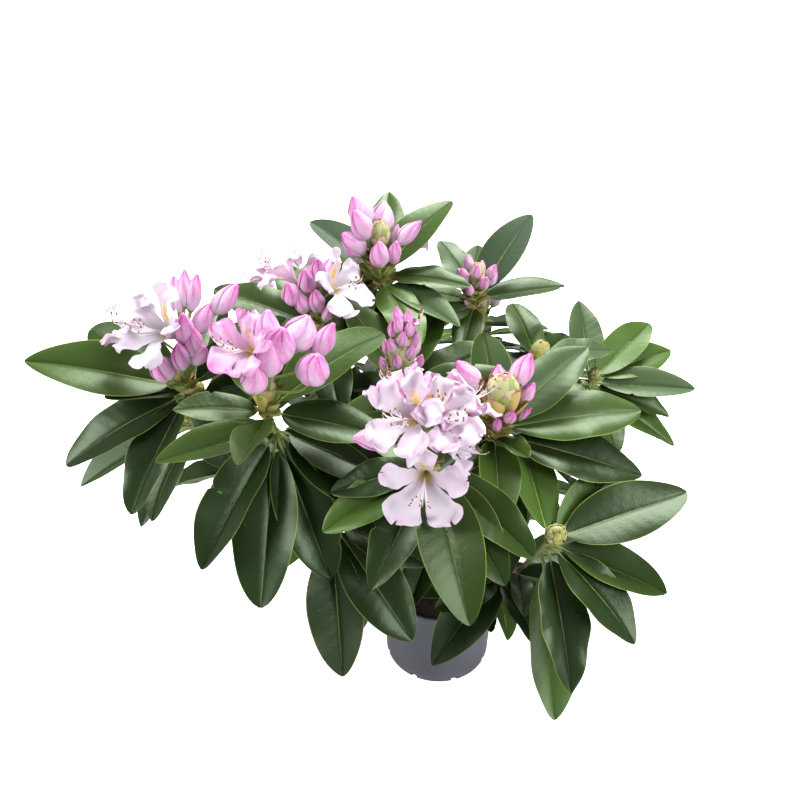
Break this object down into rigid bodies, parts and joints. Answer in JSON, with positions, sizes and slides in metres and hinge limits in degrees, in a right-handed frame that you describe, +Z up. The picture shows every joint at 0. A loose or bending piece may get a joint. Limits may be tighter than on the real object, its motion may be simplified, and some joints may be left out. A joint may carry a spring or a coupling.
{
  "type": "potted rhododendron",
  "caption": "Rhododendron in flower in a round plastic pot: pink and white blossom and fat buds over long dark evergreen leaves on a short forked trunk.",
  "frame": {"origin": "middle of the pot's flat underside, where it stands", "axes": "+Z up, -Y towards the side that the picture shows, +X to the right as seen from that side"},
  "size_m": [0.7589, 0.6442, 0.6059],
  "materials": {
    "pot": "satin, blue grey",
    "compost": "crumbly, dark brown",
    "bark": "matt, grey brown",
    "leaf": "satin, dark green"
  },
  "bodies": {
    "root": {"pot": "pot", "compost": "compost", "trunk": "bark", "bough_front": "bark", "bough_left": "bark", "bough_front_left": "bark", "bough_right": "bark", "bough_low_right": "bark", "bough_low_left": "bark", "bough_top": "bark", "bough_upper_right": "bark", "bough_middle_left": "bark", "bough_centre": "bark", "bough_far_right": "bark", "bough_right_back": "bark", "bough_lower_left": "bark", "bough_low_middle": "bark", "bough_back": "bark", "bough_back_left": "bark", "bough_back_right": "bark", "bough_outer_left": "bark", "bough_low_back": "bark", "bough_low_back_left": "bark", "spray_front": "leaf", "spray_left": "leaf", "spray_front_left": "leaf", "spray_right": "leaf", "spray_low_right": "leaf", "spray_low_left": "leaf", "spray_top": "leaf", "spray_upper_right": "leaf", "spray_middle_left": "leaf", "spray_centre": "leaf", "spray_far_right": "leaf", "spray_right_back": "leaf", "spray_lower_left": "leaf", "spray_low_middle": "leaf", "spray_back": "leaf", "spray_back_left": "leaf", "spray_back_right": "leaf", "spray_outer_left": "leaf", "spray_low_back": "leaf", "spray_low_back_left": "leaf"}
  },
  "joints": []
}
